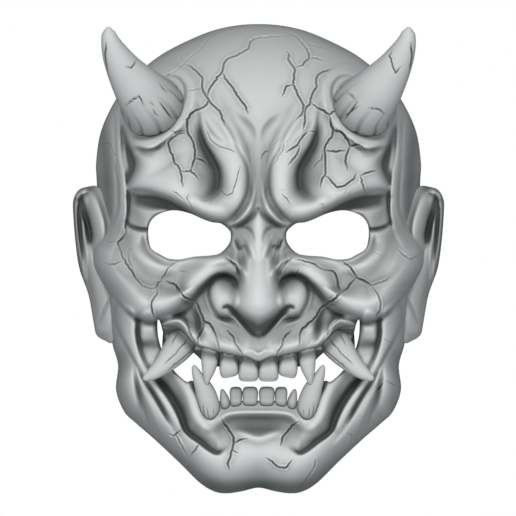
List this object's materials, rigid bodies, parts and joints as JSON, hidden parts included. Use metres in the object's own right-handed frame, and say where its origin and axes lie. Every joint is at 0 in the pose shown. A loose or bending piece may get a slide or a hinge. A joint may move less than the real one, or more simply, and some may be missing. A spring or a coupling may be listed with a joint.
{
  "type": "oni mask",
  "caption": "Full-face horned demon mask with a fanged grin, pierced eyes and mouth, and a hollow back to wear over a face.",
  "frame": {"origin": "centre of the bounding box, on the floor plane the back rim lies on", "axes": "+X to the right of the face as seen from the front, +Y from chin to crown, +Z out of the face"},
  "size_m": [0.201, 0.2526, 0.1308],
  "materials": {
    "cast_resin": "matt grey, unpainted"
  },
  "bodies": {
    "root": {"mask": "cast_resin"}
  },
  "joints": []
}
